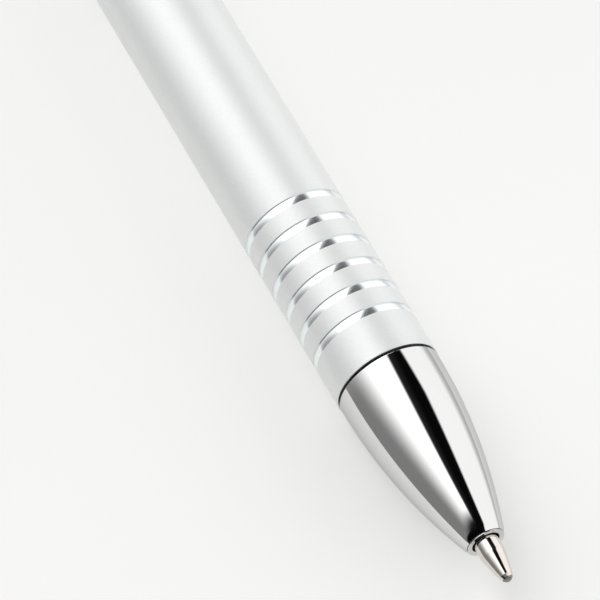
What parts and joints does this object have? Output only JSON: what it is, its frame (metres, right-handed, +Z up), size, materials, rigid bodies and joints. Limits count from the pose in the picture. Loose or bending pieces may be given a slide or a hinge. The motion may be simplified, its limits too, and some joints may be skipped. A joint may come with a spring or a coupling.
{
  "type": "stylus pen",
  "caption": "Twist-action ballpoint pen with a grooved metal barrel, a bright tapered nose, a pocket clip and a rubber stylus end for touch screens.",
  "frame": {"origin": "on the pen's axis, at the rear end face of the lower barrel, where the turning half begins", "axes": "+X along the axis towards the writing point; +Z up as the pen lies on a table, clip beside it on +Y"},
  "size_m": [0.1372, 0.0123, 0.01],
  "materials": {
    "satin_aluminium": "satin anodised, bright-cut grooves",
    "bright_chrome": "mirror",
    "turned_brass": "turned",
    "nickel_silver": "turned and polished",
    "carbide_ball": "polished",
    "spring_steel": "drawn wire",
    "refill_metal": "drawn tube",
    "ink": "wet paste",
    "white_acetal": "moulded",
    "black_acetal": "moulded",
    "pin_steel": "ground",
    "stylus_rubber": "soft matte",
    "seal_rubber": "matte"
  },
  "bodies": {
    "lower": {"lower_barrel": "satin_aluminium", "front_insert": "turned_brass", "nose_cone": "bright_chrome", "guide_sleeve": "white_acetal", "center_band": "bright_chrome", "friction_o_ring": "seal_rubber", "retaining_ring": "pin_steel", "return_spring": "spring_steel"},
    "upper": {"upper_barrel": "satin_aluminium", "cam_sleeve": "black_acetal", "top_plug": "turned_brass", "stylus_holder": "bright_chrome", "stylus_core": "white_acetal", "stylus_tip": "stylus_rubber"},
    "refill": {"refill_tube": "refill_metal", "ink_column": "ink", "refill_plug": "black_acetal", "point_housing": "nickel_silver", "refill_carrier": "white_acetal", "cross_pin": "pin_steel"},
    "ball": {"writing_ball": "carbide_ball"},
    "clip": {"pocket_clip": "bright_chrome"}
  },
  "joints": [
    {"name": "twist", "type": "hinge", "parent": "lower", "child": "upper", "pos_m": [0, 0, 0], "axis": [1, 0, 0], "range_deg": [0, 180]},
    {"name": "refill_slide", "type": "slide", "parent": "lower", "child": "refill", "axis": [1, 0, 0], "range_m": [-0.0056, 0], "deforming": ["return_spring"]},
    {"name": "ball_roll", "type": "hinge", "parent": "refill", "child": "ball", "pos_m": [0.07225, 0, 0], "axis": [0, 1, 0], "continuous": true},
    {"name": "clip_flex", "type": "hinge", "parent": "upper", "child": "clip", "pos_m": [-0.04865, 0.00441, -0.00155], "axis": [0, 0.3312, 0.9436], "range_deg": [0, 5], "stiffness_Nm_per_rad": 1}
  ],
  "couplings": [
    {"joint": "refill_slide", "follows": "twist", "m_per_rad": -0.0017825}
  ]
}
